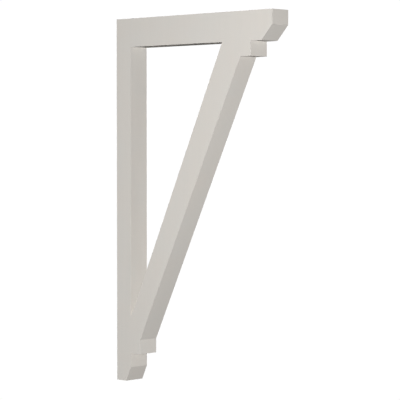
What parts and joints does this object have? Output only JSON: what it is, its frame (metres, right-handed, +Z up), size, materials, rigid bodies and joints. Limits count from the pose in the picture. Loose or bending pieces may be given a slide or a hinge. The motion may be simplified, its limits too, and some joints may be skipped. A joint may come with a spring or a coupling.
{
  "type": "architectural bracket",
  "caption": "Tall open wall bracket: plumb leg, level arm with a bevelled nose, tapering diagonal brace between two small square blocks, cut as one slab.",
  "frame": {"origin": "middle of the leg's wall face, half way up it and half way through its thickness", "axes": "+X out from the wall along the arm, +Y through the thickness, +Z up the leg"},
  "size_m": [0.6985, 0.0762, 1.219],
  "materials": {
    "cellular_pvc": "smooth, matt to satin, factory off-white"
  },
  "bodies": {
    "root": {"bracket": "cellular_pvc"}
  },
  "joints": []
}
